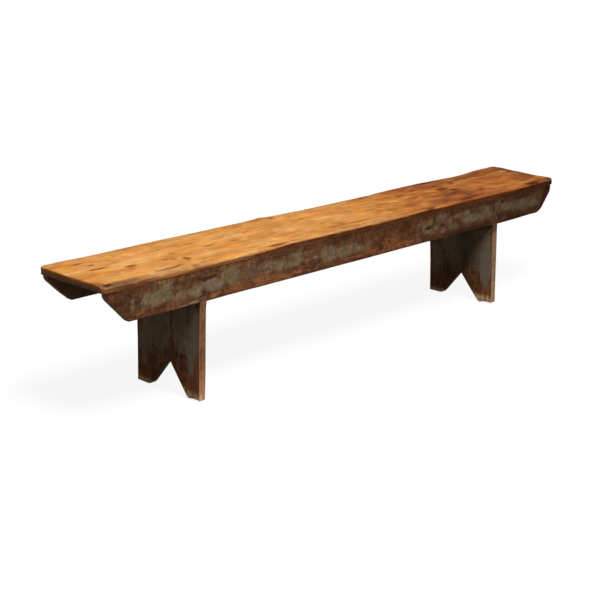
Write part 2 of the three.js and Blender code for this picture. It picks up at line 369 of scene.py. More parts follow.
# Redder, more orange wood and greyer, smoky wood in the top, as ovals of the same kind
SEAT_BLUSHES = [
    (-1082, 110, 30, 24, 0.9), (-822, 118, 48, 17, 0.8), (-1100, 0, 18, 80, 0.5), (-440, 34, 34, 17, 0.6),
    (-480, 126, 60, 12, 0.5), (-108, 106, 40, 16, 1.0), (40, 118, 36, 10, 0.9), (190, 98, 34, 15, 1.0),
    (280, 100, 26, 12, 0.9), (-240, -124, 50, 13, 0.6), (-545, -140, 40, 16, 0.6), (-225, 70, 18, 12, 0.5),
    (300, -132, 30, 9, 0.9), (250, 20, 56, 24, 0.4), (655, 92, 46, 22, 0.6), (500, 45, 36, 18, 0.7),
    (1010, 118, 90, 20, 0.6), (955, -134, 36, 10, 0.7), (470, -118, 44, 11, 0.9), (618, -6, 26, 9, 0.9),
    (560, -120, 60, 26, 0.7), (700, 118, 40, 12, 0.9), (660, -120, 60, 12, 0.6), (-30, 100, 36, 12, 0.6),
]
SEAT_SMOKES = [
    (-735, 84, 12, 34, 0.9), (-746, -50, 16, 20, 0.6), (-395, 66, 20, 11, 0.8), (-436, 82, 26, 13, 0.5),
    (-142, 70, 22, 11, 0.8), (145, 62, 24, 11, 0.9), (225, 56, 40, 13, 0.6), (-112, -45, 22, 13, 0.6),
    (-430, -80, 26, 15, 0.5), (-1030, 60, 14, 26, 0.6), (-1000, 140, 24, 8, 0.6), (160, -22, 50, 20, 0.4),
    (748, 24, 34, 17, 0.6), (825, 126, 40, 10, 0.8), (745, -80, 16, 16, 0.6), (1106, -60, 16, 16, 0.8),
    (660, -70, 40, 10, 0.4), (1105, 40, 14, 60, 0.4), (-180, -70, 50, 16, 0.4), (440, -10, 36, 20, 0.4),
    (-1048, -140, 30, 12, 0.8),
]

# How much redder and darker than pale gold the top is along its length, as (x, share), with broad darker
# and lighter areas as ovals
SEAT_TONE = [(-1125, 0.27), (-950, 0.24), (-700, 0.24), (-350, 0.24), (-100, 0.25), (150, 0.31), (330, 0.47),
             (520, 0.65), (680, 0.70), (850, 0.64), (1000, 0.63), (1125, 0.72)]
SEAT_SHADES = [
    (560, -110, 130, 46, 0.16), (600, 150, 120, 22, 0.12), (620, -40, 60, 60, 0.16),
    (1112, 60, 24, 110, 0.25), (-240, 105, 60, 26, 0.14), (-235, -110, 90, 30, 0.1), (-70, -90, 90, 55, 0.13),
    (90, -70, 80, 60, 0.08), (300, -70, 120, 26, 0.12), (-713, 118, 50, 30, 0.07), (1030, -110, 40, 40, 0.06),
    (880, 112, 150, 26, 0.14), (-270, -60, 120, 30, 0.06), (-930, 70, 90, 24, 0.07), (-660, 40, 60, 50, 0.08),
    (-1030, -134, 70, 14, 0.08),
]
SEAT_LIGHTS = [
    (800, 62, 54, 20, 0.18), (790, 2, 46, 16, 0.14), (1050, 62, 46, 26, 0.12), (870, -14, 90, 20, 0.08),
    (574, 36, 30, 22, 0.16), (713, 80, 40, 22, 0.12), (713, -120, 50, 26, 0.12), (-700, -90, 120, 36, 0.07),
    (40, 12, 120, 44, 0.06), (900, -130, 60, 10, 0.12), (1104, -104, 16, 30, 0.3), (-1030, -95, 60, 20, 0.05),
    (720, -95, 30, 14, 0.14), (330, 0, 60, 26, 0.1),
]


def seat_board(finish):
    """The seat: a block whose arrises are worn round by a radius that changes along the board, with
    rounded corners, edges that wander, ends out of square and a lifted back and right end. Its top is
    scooped as 1 - (y / half width)^2 and sinks at bruises, splits and nails."""
    low, high = packed_size("seat_board")
    half_width = high[1]
    xs, ys = lattice(low, high, SEAT_LATTICE)
    zs = low[2] + (high[2] - low[2]) * SEAT_LAYERS
    block, faces = block_skin(xs, ys, zs)
    x, y, z = block.T
    upper = np.where(y < 0, drawn(x, FRONT_ARRIS), drawn(x, BACK_ARRIS))
    points, outward, arris = eased(block, low, high, upper, LOWER_EASING, END_EASING_SHARE)
    eased_height = points[:, 2].copy()
    corner = np.select([(x < 0) & (y < 0), x < 0, y < 0], SEAT_CORNERS[:3], SEAT_CORNERS[3])
    points = corners_rounded(points, low, high, corner)
    near_end = smooth(x, high[0] - END_REACH, high[0])

    wander = np.where(y < 0, drawn(x, FRONT_WANDER), drawn(x, BACK_WANDER))
    points[:, 1] += wander * (y / half_width) ** 2
    points[:, 0] += 1.6 * uneven(block, (900, 70, 90), 3) * smooth(np.abs(x), high[0] - 60, high[0])
    points[:, 0] += drawn(y, RIGHT_END_SKEW) * near_end
    points[:, 0] += drawn(y, LEFT_END_SKEW) * smooth(-x, high[0] - END_REACH, high[0])
    ragged = 1 + 0.35 * uneven(block, (26, 11, 60), 15) + 0.2 * uneven(block, (9, 6, 40), 16)
    spall = marks(x, y, SEAT_SPALLS, 1.5) * ragged

    top = np.clip(outward[:, 2], 0, 1)
    side = 1 - np.abs(outward[:, 2])
    scoop = SCOOP_DEPTH * (1 - (y / half_width) ** 2) * smooth(high[0] - np.abs(x), 0, 250)
    hollows = 0.55 * uneven(block, (210, 75, 90), 5) + 0.3 * uneven(block, (70, 26, 90), 7)
    stain = marks(x, y, SEAT_STAINS, 1, 1.25)
    fall = FRONT_FALL * smooth(-y, half_width - 30, half_width)
    lift = drawn(x, BACK_LIFT) * smooth(y, 60, half_width) + drawn(y, RIGHT_END_LIFT) * near_end
    points[:, 2] += top * (lift - scoop + hollows - BRUISE_DEPTH * stain - fall - spall)
    points[:, 1] += outward[:, 1] * side * (0.5 * uneven(block, (60, 90, 9), 11))

    nails = np.concatenate([packed_nails("edge_nail"), packed_nails("_leg_nail")])
    nail = nearest(points[:, 0], points[:, 1], nails[:, :2])
    points[:, 2] = dimpled(points[:, 2], nail, high[2] - NAIL_SEAT_DEPTH, outward[:, 2] > 0.9)

    front = smooth(-y, half_width - 60, half_width - 30)
    depth = drawn(x, SCRUBBED_DEPTH) * front + OTHER_SCRUBBED_DEPTH * (1 - front)
    beside = smooth(arris, 34, 8)
    long_rim = np.where(y < 0, drawn(x, FRONT_RIM), drawn(x, BACK_RIM)) * smooth(np.abs(y), 80, 120)
    end_rim = 0.9 * smooth(arris, 14, 2) * smooth(x, 1090, 1115) * smooth(y, -60, 20)
    maps = {
        "scrubbed": eased_height - (high[2] - depth),
        "edge": drawn(x, EDGE_TONE) * front + OTHER_EDGE_TONE * (1 - front),
        "end": smooth(np.abs(outward[:, 0]), 0.4, 0.8),
        "worn_crest_and_highlight": front * smooth(arris, 9, 2) * (0.15 + 0.35 * smooth(x, 700, -200)),
        "tone": drawn(x, SEAT_TONE) + marks(x, y, SEAT_SHADES, 2) - marks(x, y, SEAT_LIGHTS, 2),
        "stain": stain,
        "rim": np.maximum(beside * long_rim, end_rim),
        "blush": marks(x, y, SEAT_BLUSHES),
        "smoke": marks(x, y, SEAT_SMOKES),
        "spall": np.maximum(spall / 5, marks(x, y, SEAT_BROWNED, 2) * ragged),
        "nail": np.where(z > low[2] + NAIL_MAP_BASE, nail, NO_NAIL),
    }
    finished("seat_board", points, faces, maps, finish)


# Aprons

# What is left of the grey-green paint on the front apron, as ovals of (x, z, half length, half height,
# strength); the back apron carries the same kind of patches in another order
FRONT_PAINT = [
    (-1022, 385, 11, 9, 0.6), (-1022, 365, 12, 9, 0.75), (-925, 376, 54, 20, 1.2), (-905, 394, 42, 14, 0.9),
    (-905, 418, 36, 12, 0.4), (-825, 368, 30, 13, 0.65), (-772, 368, 28, 14, 1.2), (-720, 384, 38, 13, 1.0),
    (-700, 372, 40, 17, 1.1), (-636, 396, 38, 14, 1.1), (-625, 376, 30, 15, 0.9), (-560, 390, 22, 24, 0.45),
    (-490, 388, 40, 15, 0.65), (-430, 382, 48, 18, 0.8), (-375, 376, 30, 13, 0.8), (-335, 388, 15, 22, 1.0),
    (-345, 402, 30, 9, 0.6), (-300, 400, 20, 8, 0.5), (-190, 376, 40, 25, 1.0), (-110, 372, 44, 21, 0.85),
    (-40, 368, 34, 13, 0.75), (-60, 386, 26, 11, 0.5), (40, 386, 26, 8, 0.4), (20, 368, 24, 13, 0.45),
    (285, 390, 16, 34, 0.5), (312, 378, 15, 20, 0.8), (350, 396, 18, 11, 0.85), (340, 362, 30, 9, 0.75),
    (372, 372, 13, 20, 0.65), (415, 403, 34, 17, 0.8), (430, 355, 34, 9, 0.55), (460, 380, 18, 18, 0.6),
    (480, 362, 34, 11, 0.85), (515, 397, 34, 12, 0.65), (560, 380, 17, 25, 0.8), (600, 376, 46, 18, 0.9),
    (680, 376, 54, 18, 0.9), (690, 395, 22, 15, 0.8), (640, 408, 14, 9, 0.5), (765, 418, 30, 9, 0.7),
    (755, 395, 11, 14, 0.6), (785, 385, 18, 13, 0.75), (830, 384, 48, 16, 0.95), (900, 378, 60, 18, 1.0),
    (985, 372, 58, 17, 0.85), (1045, 368, 24, 12, 0.5),
]
BACK_PAINT = [
    (-1000, 382, 70, 22, 0.8), (-850, 370, 80, 24, 0.9), (-690, 392, 60, 18, 0.8), (-520, 376, 110, 24, 0.85),
    (-330, 394, 60, 16, 0.6), (-180, 374, 90, 22, 0.95), (20, 384, 100, 24, 0.8), (210, 370, 70, 18, 0.6),
    (380, 390, 80, 20, 0.85), (540, 374, 60, 24, 0.9), (700, 384, 90, 22, 0.8), (900, 378, 90, 24, 0.95),
    (1040, 392, 40, 14, 0.5),
]

# The paint's cast, from olive at 0 to a pinkish grey at 1, the thin haze of paint between the patches, how
# far the whole outer face darkens towards its right end, with painted shade at the end itself for the end's
# edge in shadow, and how dark the band under the seat is, as (x, share)
PAINT_CAST = [(-1109, 0.2), (-980, 0.35), (-860, 0.3), (-800, 0.35), (-755, 0.3), (-715, 0.95), (-675, 0.8),
              (-645, 0.2), (-600, 0.5), (-540, 0.8), (-430, 0.7), (-360, 0.3), (-320, 0.2), (-290, 0.9),
              (-235, 0.8), (-200, 0.55), (-150, 0.3), (-110, 0), (-70, 0.3), (-30, 0.8), (100, 0.4),
              (300, 0.25), (360, 0.3), (410, 1), (455, 0.4), (485, 0.1), (520, 0.8), (560, 0.3), (640, 0.25),
              (740, 0.4), (790, 0.1), (850, 0.5), (1109, 0.5)]
APRON_HAZE = [(-1109, 0.4), (-1000, 0.8), (-600, 0.9), (-450, 0.6), (-300, 0.6), (-100, 0.4), (0, 0.15),
              (40, 0), (250, 0), (290, 0.4), (400, 0.6), (760, 0.6), (1000, 0.5), (1060, 0.2), (1109, 0)]
APRON_DARKENING_AND_END_SHADE = [(-1109, 0.34), (-1060, 0.26), (-985, 0.08), (-900, 0), (-700, 0.02), (-500, 0.06), (-300, 0.1),
              (0, 0.18), (250, 0.2), (400, 0.22), (600, 0.28), (740, 0.32), (860, 0.38), (1000, 0.42),
              (1050, 0.5), (1085, 0.8), (1109, 0.95)]
APRON_UPPER = [(-1109, 0.5), (-960, 0.35), (-900, 0), (-560, 0), (-450, 0.35), (300, 0.45), (600, 0.7),
               (740, 0.9), (1109, 0.9)]

# Bare orange-brown wood, mostly along the aprons' lower edges, as ovals
APRON_BARE = [
    (-1005, 345, 38, 10, 0.6), (-925, 342, 50, 7, 0.35), (-690, 341, 40, 8, 0.5), (-600, 348, 46, 15, 0.75),
    (-505, 352, 46, 18, 1.0), (-430, 346, 56, 13, 1.0), (-345, 346, 40, 9, 0.8), (-290, 362, 16, 34, 0.5),
    (-245, 342, 14, 12, 0.6), (-80, 342, 80, 8, 0.75), (30, 348, 50, 12, 0.6), (130, 356, 56, 18, 0.95),
    (190, 345, 56, 13, 0.85), (250, 345, 26, 8, 0.7), (-1097, 414, 9, 16, 0.9), (1020, 412, 50, 12, 0.45),
    (-10, 408, 34, 16, 0.35), (-800, 408, 60, 22, 0.3), (880, 346, 50, 9, 0.2), (-450, 336, 100, 9, 1.2),
    (160, 336, 120, 8, 0.9), (-600, 338, 50, 8, 0.6),
]

# Paler, duller wood, mostly in the band under the seat
APRON_TAN = [
    (-905, 418, 56, 16, 0.9), (-640, 418, 70, 15, 0.9), (-545, 411, 30, 15, 0.9), (-770, 420, 60, 10, 0.4),
    (-690, 404, 30, 14, 0.6), (-950, 404, 30, 14, 0.5), (-480, 404, 40, 12, 0.4), (-20, 414, 50, 12, 0.5),
    (-1000, 352, 40, 12, 0.3), (-800, 340, 60, 10, 0.5),
]

# Dark red-brown blotches, knots and cracks in the aprons, and chips that show fresh wood
APRON_BLOTCHES = [
    (-722, 398, 34, 5, 1.3), (-741, 393, 13, 7, 0.9), (-699, 403, 12, 4.5, 0.8), (-830, 382, 22, 11, 0.45),
    (-858, 380, 9, 22, 0.6), (-495, 412, 16, 13, 0.6), (-232, 361, 5, 14, 1.0), (-322, 366, 8, 5.5, 0.6),
    (-340, 361, 14, 4, 0.5), (-558, 372, 10, 18, 0.45), (-640, 352, 50, 4, 0.45), (335, 376, 25, 5.5, 0.9),
    (420, 374, 22, 7, 0.9), (384, 396, 9, 20, 0.5), (475, 408, 28, 13, 0.6), (520, 379, 30, 7, 0.45),
    (590, 412, 28, 9, 0.5), (605, 396, 13, 9, 0.55), (727, 388, 6.5, 33, 0.8), (708, 405, 11, 15, 0.6),
    (752, 396, 7, 7, 0.8), (782, 408, 13, 11, 0.75), (765, 352, 17, 11, 1.0), (770, 340, 20, 6, 0.7),
    (900, 405, 60, 5.5, 0.8), (860, 398, 20, 8, 0.5), (870, 346, 20, 9, 0.5), (962, 358, 11, 13, 0.7),
    (990, 345, 30, 7, 0.6), (1078, 402, 17, 44, 0.6), (-1050, 416, 40, 15, 0.4), (-790, 427, 30, 4, 0.6),
    (-430, 429, 50, 5, 0.5), (200, 380, 18, 7, 0.35), (190, 356, 26, 4, 0.45), (540, 346, 40, 8, 0.6),
    (-742, 340, 9, 11, 0.9), (-700, 350, 30, 4, 0.4), (60, 394, 40, 8, 0.3), (240, 405, 20, 16, 0.3),
    (560, 333, 230, 10, 0.8), (880, 333, 150, 11, 0.8),
]
APRON_CHIPS = [
    (-255, 378, 21, 9, 0.9), (-264, 362, 18, 4, 0.4), (565, 404, 9, 4.5, 1.0), (-785, 334, 27, 5.5, 1.1),
    (-828, 331, 26, 3.5, 0.9), (-757, 343, 4.5, 9, 0.9), (-705, 337, 22, 3.5, 0.8), (-330, 345, 13, 4.5, 0.8),
    (-400, 349, 40, 2.5, 0.6), (-515, 351, 34, 2.5, 0.55), (-446, 346, 18, 3, 0.6), (-545, 411, 12, 2, 0.5),
    (-527, 407, 4, 3, 0.9), (-250, 337, 10, 6, 0.45), (28, 408, 6, 5, 0.4), (132, 347, 12, 5, 0.4),
    (-938, 396, 12, 5, 0.5), (-886, 420, 8, 6, 0.4),
]

# How much and over what height the corner above a clip is eased, how far up the laps and the warps of an
# apron's lower edge reach, how far its face swells out and how deep its blotches and chips lie
TOE_EASE = 1.6
TOE_HALF = 5
LAP_REACH = 60
LOWER_EDGE_REACH = 40
APRON_SWELL = 1.1
BLOTCH_DEPTH = 0.9
CHIP_DEPTH = 0.8


def clip_end(height, toe, clip, rounding, clip_height):
    """Where an apron's end lies at a height above its lower edge: in by the clip at the bottom, straight
    out to the toe at clip_height, with the heel rounded by r * (1 - sqrt(height / reach))^2 and the toe
    eased by TOE_EASE * exp(-(d / TOE_HALF)^2) at a distance d from clip_height."""
    rounding_reach = rounding * clip_height / math.hypot(clip, clip_height)
    line = toe - clip * np.clip(1 - height / clip_height, 0, 1)
    heel = (1 - np.sqrt(np.clip(height / rounding_reach, 0, 1))) ** 2
    toe_ease = TOE_EASE * np.exp(-((height - clip_height) / TOE_HALF) ** 2)
    return line - rounding * heel - toe_ease


def apron_board(row, face, paint, finish):
    """An apron: a block on edge whose ends are drawn in to the clipped outline, by the share of a point's
    way out past the clip, and whose lower edge is lifted over each leg by the lap and wanders elsewhere.
    Its outer face swells towards the top and has the plane's waves, bruises and a dimple at each nail."""
    low, high = packed_size(f"{row}_apron")
    height = high[2] - low[2]
    leg_low, leg_high = packed_size("right_leg")
    lean = LEG_LEAN / (leg_high[2] - leg_low[2])
    thick = leg_high[0] - leg_low[0] - LEG_LEAN
    lap_centre = leg_high[0] - thick / 2 - lean * (low[2] + LAP_DEPTH / 2)
    lap_half = thick / 2 + LAP_ROOM

    walls = [end * (lap_centre + wall * lap_half) for end in (-1, 1) for wall in (-1, 1)]
    xs, ys, zs = lattice(low, high, APRON_LATTICE)
    block, faces = block_skin(with_steps(xs, walls), ys, zs)
    points, outward, arris = eased(block, low, high, *APRON_EASING)
    x, z = block[:, 0], block[:, 2]
    up = points[:, 2] - low[2]

    for side, (further, clip, rounding, stub) in zip((-1, 1), APRON_ENDS[row]):
        inner = high[0] - clip - rounding - 12
        reach = (side * points[:, 0] - inner) / (high[0] - inner)
        end = inner + reach * (clip_end(up, high[0] + further, clip, rounding, height - stub) - inner)
        points[:, 0] = np.where(reach > 0, side * end, points[:, 0])

    lapped = (np.abs(np.abs(x) - lap_centre) < lap_half) & (up < LAP_REACH)
    points[:, 2] += np.where(lapped, LAP_DEPTH * (1 - up / LAP_REACH), 0)

    outside = np.clip(outward[:, 1] * face, 0, 1)
    swell = APRON_SWELL * outside * smooth(up, 50, 95)
    waves = 0.35 * uneven(block, (160, 90, 40), 21 + face) + 0.18 * uneven(block, (38, 30, 16), 23)
    bruises = BLOTCH_DEPTH * marks(x, z, APRON_BLOTCHES) + CHIP_DEPTH * marks(x, z, APRON_CHIPS)
    shown_bruises = outside * bruises if row == "front" else 0
    points[:, 1] += outward[:, 1] * waves + face * (swell - shown_bruises)
    lower_edge = drawn(x, APRON_LOWER_EDGE[row]) + 0.5 * uneven(block, (150, 200, 500), 25 + face)
    points[:, 2] += smooth(LOWER_EDGE_REACH - up, 0, LOWER_EDGE_REACH) * lower_edge

    nails = packed_nails(row, "lap_nail")
    nail = nearest(points[:, 0], points[:, 2], nails[:, [0, 2]])
    outer_face = high[1] if face > 0 else low[1]
    points[:, 1] = dimpled(points[:, 1], nail, outer_face - face * NAIL_SEAT_DEPTH, outside > 0.9)

    shown = smooth(outward[:, 1] * face, 0.2, 0.8)
    sawn_end = smooth(np.abs(outward[:, 0]), 0.3, 0.9)
    mine = x if row == "front" else -x
    maps = {
        "arris": arris,
        "paint": np.maximum(marks(x, z, paint, 1.3, 1.2) * shown, 0.5 * sawn_end),
        "cast": drawn(mine, PAINT_CAST),
        "haze": drawn(mine, APRON_HAZE) * shown,
        "darkening_and_end_shade": drawn(mine, APRON_DARKENING_AND_END_SHADE) * shown,
        "upper": drawn(mine, APRON_UPPER) * shown,
        "tan": marks(mine, z, APRON_TAN) * shown,
        "bare": marks(mine, z, APRON_BARE) * shown,
        "blotch": marks(mine, z, APRON_BLOTCHES) * shown,
        "chip": marks(mine, z, APRON_CHIPS) * shown,
        "outside": shown,
        "nail": np.where(outside > 0.5, nail, NO_NAIL),
    }
    finished(f"{row}_apron", points, faces, maps, finish)


# Legs

# Where the legs' grey-green paint is thickest, where it is a cooler grey, partly paint weathered grey and
# partly a painted band of light along the front edge, where feet and edges are rubbed bare and where painted
# shade darkens the broad faces, most where the seat shades the right leg, as ovals of (y, z, half width, half
# height, strength)
LEG_PAINT = [(-122, 190, 34, 150, 1.0), (-60, 230, 60, 120, 0.75), (40, 220, 90, 140, 0.7),
             (116, 150, 36, 110, 0.75)]
LEG_COOL_PAINT_AND_LIGHT = {"left": [(-128, 230, 21, 130, 1.0), (-96, 130, 28, 64, 0.7), (134, 150, 16, 60, 0.8)],
            "right": [(-124, 160, 26, 100, 1.0), (-88, 120, 34, 50, 0.8), (10, 170, 90, 100, 0.5),
                      (134, 150, 16, 60, 0.8)]}
LEG_BARE = {"left": [(-116, 0, 44, 84, 1.1), (-140, 70, 16, 80, 1.1), (116, 0, 44, 70, 0.8),
                     (-12, 112, 30, 20, 0.4), (60, 70, 20, 40, 0.4), (140, 80, 10, 60, 0.5)],
            "right": [(-124, 0, 40, 66, 1.1), (-146, 60, 10, 50, 1.0), (116, 0, 44, 56, 0.7),
                      (86, 30, 30, 30, 0.4)]}
# Painted shade on the broad faces, strongest on the right leg where the seat shades it
LEG_PAINTED_SHADE = {"left": [(-10, 140, 50, 50, 0.2), (128, 38, 34, 24, 0.55)],
             "right": [(-30, 200, 56, 120, 0.75), (40, 120, 70, 60, 0.35), (-124, 190, 26, 90, 0.25)]}

# How far the back edge of a leg stands out near the top and its front edge is worn in, in millimetres, and
# how pale its sawn edges are, how much painted shade darkens them below and inside the apron's lap, how pale
# the front and back soles are and how much painted shade darkens the sawn faces of the V, which face down
LEG_SPREAD = 3.2
FRONT_EDGE_WORN = {"left": 2.4, "right": 0.4}
LEG_PALENESS = {"left": 0, "right": 0.6}
LEG_LAP_SHADE = {"left": (0.1, 0.6), "right": (0.85, 1.0)}
SOLE_PALENESS = {"left": (0.75, 1.2), "right": (1.1, 0.95)}
NOTCH_SHADE = 0.9

# How far up the lift of the foot reaches, how softly the V meets the floor and how far that settles, and
# how near the V's apex no other lattice line comes
FOOT_LIFT_REACH = 300
FOOT_CORNER = 6
FOOT_SETTLE = 0.6
APEX_CLEARANCE = 1.5


def notch_line(across, apex, top, back, front):
    """The height h of a leg's foot line: a V that falls from the notch's apex to the floor on both sides,
    rounded where it meets the floor by the soft corner (h + sqrt(h^2 + c^2)) / 2, settled a little."""
    foot = np.where(across > apex, back, front)
    height = top * (1 - (across - apex) / (foot - apex))
    return np.maximum((height + np.sqrt(height ** 2 + FOOT_CORNER ** 2)) / 2 - FOOT_SETTLE, 0)


def leg_board(end, side, finish):
    """A leg: an upright block whose lower end is lifted to the V of the foot, by a share that fades
    upwards, whose upper end is drawn in to the width between the aprons above the shoulders, and which
    leans in as it rises. The front of the foot is worn short and the long edges are worn or spread."""
    low, high = packed_size(f"{end}_leg")
    height = high[2] - low[2]
    thick = high[0] - low[0] - LEG_LEAN
    foot_centre = high[0] - thick / 2 if side > 0 else low[0] + thick / 2
    apron_low = packed_size("back_apron")[0]
    shoulder = apron_low[2] + LAP_DEPTH - JOINT_GAP
    neck = (apron_low[1] - JOINT_GAP) / high[1]
    base = np.array([-thick / 2, low[1], low[2]])
    crown = np.array([thick / 2, high[1], high[2]])

    notch = LEG_NOTCHES[end]
    xs, ys, zs = lattice(base, crown, LEG_LATTICE)
    ys = np.sort(np.append(ys[np.abs(ys - notch[0]) > APEX_CLEARANCE], notch[0]))
    block, faces = block_skin(xs, ys, with_steps(zs, [shoulder]))
    points, outward, _ = eased(block, base, crown, *LEG_EASING)
    x, y, z = block.T

    lifted = notch_line(points[:, 1], *notch)
    rise = lifted * np.clip(1 - points[:, 2] / FOOT_LIFT_REACH, 0, 1)
    ragged = 1 + 0.3 * uneven(block, (22, 13, 300), 31 + side)
    worn_foot = FOOT_WEAR[end] * ragged * smooth(-y, 88, 128) * smooth(18 - points[:, 2], 0, 18)
    points[:, 2] += rise + worn_foot
    points[:, 1] *= np.where(z > shoulder, neck, 1)

    across = np.minimum(block - base, crown - block)[:, :2].max(1)
    broad = np.abs(outward[:, 0])
    waves = 0.3 * uneven(block, (90, 46, 150), 35 + side) + 0.12 * uneven(block, (90, 12, 60), 37)
    points[:, 0] += outward[:, 0] * waves
    edge = smooth(np.abs(y), crown[1] - 20, crown[1]) * (z < shoulder)
    points[:, 1] += edge * 0.7 * uneven(block, (60, 200, 120), 39 + side)
    up = points[:, 2]
    spread = LEG_SPREAD * smooth(y, 0, 150) * smooth(up, 120, 230) * smooth(up, 325, 300)
    worn_edge = FRONT_EDGE_WORN[end] * smooth(-y, 0, 150) * smooth(up, 325, 305)
    points[:, 1] += (z < shoulder) * (spread + worn_edge)
    points[:, 0] += foot_centre - side * LEG_LEAN / height * up

    below_lap, in_lap = LEG_LAP_SHADE[end]
    beside_apron = below_lap * smooth(up, 280, 306) + (in_lap - below_lap) * smooth(up, 322, 330)
    in_notch = NOTCH_SHADE * (outward[:, 2] < -0.4) * smooth(lifted, 5, 14)
    front_sole, back_sole = SOLE_PALENESS[end]
    on_face = smooth(broad, 0.3, 0.9)
    maps = {
        "arris": across,
        "paint": marks(y, up, LEG_PAINT, 1.5) * on_face,
        "cool_paint_and_light": marks(y, up, LEG_COOL_PAINT_AND_LIGHT[end], 1.5) * on_face,
        "bare": marks(y, up, LEG_BARE[end], 1.5),
        "painted_shade": marks(y, up, LEG_PAINTED_SHADE[end], 1.5) * on_face,
        "edge": 1 - smooth(broad, 0.2, 0.7),
        # On the legs the grime map is painted shade: on the sawn edges below and inside the apron's lap and
        # on the V's downward faces
        "grime": np.maximum(beside_apron, in_notch),
        "pale": np.full_like(x, LEG_PALENESS[end]),
        "sole": np.where(y < 0, front_sole * smooth(up, 48, 8), back_sole * smooth(up, 26, 4)),
    }
    finished(f"{end}_leg", points, faces, maps, finish)


# Finishes

# How deep the relief of the boards and of the rust is, in millimetres, and up to what height the colours of
# the legs' sawn edges run
WOOD_RELIEF = 0.5
RUST_RELIEF = 0.25
SAWN_EDGE_HEIGHT = 340

# The heights between which things set in or fade, in millimetres: the seat's bare underside, measured from
# its packed face, the lower and upper limits of the aprons' haze of paint, the dark band under the seat, and
# the rubbed arrises of the aprons and of the legs
UNDERSIDE_FADE = (0.8, 0.2)
HAZE_RISES = (340, 362)
HAZE_FADES = (415, 392)
DARK_BAND_RISES = (403, 427)
APRON_RUBBING_FADES = (420, 405)
LEG_RUBBING_FADES = (335, 300)

# How far a noise's seed shifts its pattern along X, Y and Z, how much longer a fibre's cell is than wide, and
# the cells along and across the grain in which the line at the heart of the year rings sways, and how far
SEED_SHIFT = (7.31, 3.77, 5.93)
FIBRE_STRETCH = 28
RING_CELLS = (1500.0, 150.0)
RING_SWAY = 70

# The finishes' single colours, in linear light. Tints, glazes and casts multiply the colour under them, and
# the pair of scratch tints makes the fine light and dark of the aprons' paint
BLUSH_TINT = (1.0, 0.83, 0.62)
SMOKE_TINT = (0.80, 0.91, 0.90)
YELLOW_GLAZE = (1.17, 1.07, 0.78)
BLUE_GLAZE = (0.85, 0.91, 1.20)
GREEN_GLAZE = (0.96, 1.05, 0.98)
RUDDY_GLAZE = (1.04, 0.94, 1.0)
PORE_BROWN = (0.16, 0.07, 0.03)
RIM_TINT = (0.40, 0.36, 0.36)
PINE_BY_NAIL = (0.14, 0.066, 0.03)
PALE_CREST_AND_HIGHLIGHT = (0.86, 0.50, 0.25)
AMBER_TINT = (0.95, 0.66, 0.36)
AMBER_END = (0.44, 0.145, 0.030)
STAIN_TINT = (0.34, 0.24, 0.12)
RUST_RED = (0.17, 0.058, 0.032)
BAND_BROWN = (0.105, 0.038, 0.015)
PALE_SPECK = (0.42, 0.27, 0.17)
DARK_SPECK = (0.045, 0.019, 0.010)
SCRATCH_DARK = (0.79, 0.77, 0.77)
SCRATCH_LIGHT = (1.20, 1.20, 1.17)
WARM_CAST = (1.03, 0.98, 0.82)
COOL_CAST = (0.97, 1.01, 1.17)
BLOTCH_BROWN = (0.045, 0.021, 0.013)
RUBBED_APRON = (0.30, 0.15, 0.080)
CHIPPED_WOOD = (0.44, 0.28, 0.18)
APRON_BY_NAIL = (0.06, 0.03, 0.018)
DARKENING_AND_SHADE_TINT = (0.20, 0.16, 0.14)
GREY_PAINT_AND_LIGHT = (0.275, 0.225, 0.172)
PAINTED_SHADE_TINT = (0.50, 0.52, 0.56)
OLD_EDGE_TINT = (0.42, 0.36, 0.30)
SHADE_BROWN = (0.095, 0.049, 0.026)
RUBBED_LEG = (0.56, 0.31, 0.18)


class Value:
    """A socket of a tree's nodes, so that sums and products on it can be written as expressions."""

    def __init__(self, tree, socket):
        self.tree = tree
        self.socket = socket

    def math(self, operation, *values):
        return self.tree.node("Math", {"operation": operation}, dict(enumerate(values)))

    def __add__(self, other):
        return self.math("ADD", self, other)

    def __sub__(self, other):
        return self.math("SUBTRACT", self, other)

    def __rsub__(self, other):
        return self.math("SUBTRACT", other, self)

    def __mul__(self, other):
        return self.math("MULTIPLY", self, other)

    def __truediv__(self, other):
        return self.math("DIVIDE", self, other)

    def __pow__(self, other):
        return self.math("POWER", self, other)

    __radd__ = __add__
    __rmul__ = __mul__

    def most(self, other):
        return self.math("MAXIMUM", self, other)

    def fraction(self):
        return self.math("FRACT", self)

    def swing(self, size):
        """How far a noise from 0 to 1 is above or below its middle, enlarged by a size."""
        return (self - 0.5) * size

    def rise(self, low, high):
        """0 at low and 1 at high with eased ends; low may be the greater, for a fall."""
        sockets = {0: self, 1: low, 2: high, 3: 0.0, 4: 1.0}
        if low > high:
            sockets = {0: self, 1: high, 2: low, 3: 1.0, 4: 0.0}
        return self.tree.node("MapRange", {"interpolation_type": "SMOOTHSTEP"}, sockets)


class Tree:
    """The shader nodes of a material or a world, which start empty."""

    def __init__(self, owner):
        owner.use_nodes = True
        self.nodes = owner.node_tree.nodes
        self.links = owner.node_tree.links
        self.nodes.clear()

    def node(self, kind, settings, sockets, output=0):
        """A new node, whose settings are made first and whose sockets then get values or links."""
        made = self.nodes.new("ShaderNode" + kind)
        for name, value in settings.items():
            setattr(made, name, value)
        for key, value in sockets.items():
            if isinstance(value, Value):
                self.links.new(value.socket, made.inputs[key])
            else:
                made.inputs[key].default_value = value
        return Value(self, made.outputs[output])

    def close(self, kind, shader):
        """Makes the shader the surface of a material or of the world."""
        target = self.nodes.new("ShaderNodeOutput" + kind)
        self.links.new(shader.socket, target.inputs["Surface"])

    def seen_directly(self):
        """1 for the camera and for what a mirror or clear piece shows, and 0 for light that bounces."""
        camera, glossy, clear = [self.node("LightPath", {}, {}, f"Is {kind} Ray")
                                 for kind in ("Camera", "Glossy", "Transmission")]
        return camera.most(glossy).most(clear)


